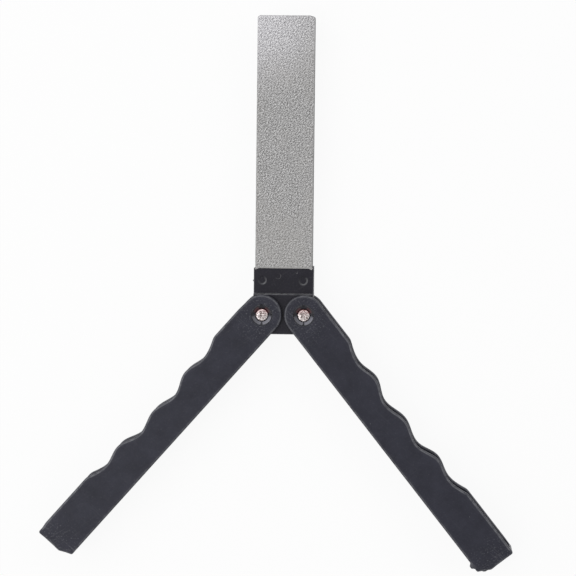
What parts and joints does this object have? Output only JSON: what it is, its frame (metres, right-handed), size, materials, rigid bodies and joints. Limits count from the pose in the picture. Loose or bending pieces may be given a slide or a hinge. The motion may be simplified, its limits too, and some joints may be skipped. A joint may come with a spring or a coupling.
{
  "type": "folding diamond whetstone",
  "caption": "Folding double-sided diamond whetstone: a flat abrasive bar on a hinge block, with scalloped channel handles that swing round to grip it or to cover it as a case.",
  "frame": {"origin": "middle of the part's box in plan, on the plane of the handles' rear faces, where it lies on a table", "axes": "+X across the bar, +Y along the bar towards its tip, +Z out of the coarse face"},
  "size_m": [0.2084, 0.2414, 0.015],
  "materials": {
    "handle_plastic": "fine moulded satin",
    "holder_plastic": "smooth moulded",
    "bush_plastic": "smooth moulded",
    "adhesive": "matt film",
    "diamond_coating": "gritty, nickel bonded",
    "screw_metal": "copper-tinted plating",
    "nut_metal": "plated"
  },
  "bodies": {
    "stone_holder": {"holder_core": "holder_plastic", "coarse_diamond_plate": "diamond_coating", "fine_diamond_plate": "diamond_coating", "coarse_bond_film": "adhesive", "fine_bond_film": "adhesive", "left_front_bush": "bush_plastic", "left_rear_bush": "bush_plastic", "left_pivot_screw": "screw_metal", "left_pivot_nut": "nut_metal", "right_front_bush": "bush_plastic", "right_rear_bush": "bush_plastic", "right_pivot_screw": "screw_metal", "right_pivot_nut": "nut_metal"},
    "left_handle": {"left_handle": "handle_plastic"},
    "right_handle": {"right_handle": "handle_plastic"}
  },
  "joints": [
    {"name": "left_handle_swing", "type": "hinge", "parent": "stone_holder", "child": "left_handle", "pos_m": [-0.00662, -0.00949, 0.0075], "axis": [0, 0, 1], "range_deg": [-138.7, 41.3]},
    {"name": "right_handle_swing", "type": "hinge", "parent": "stone_holder", "child": "right_handle", "pos_m": [0.01168, -0.00949, 0.0075], "axis": [0, 0, 1], "range_deg": [-38.4, 141.6]}
  ]
}
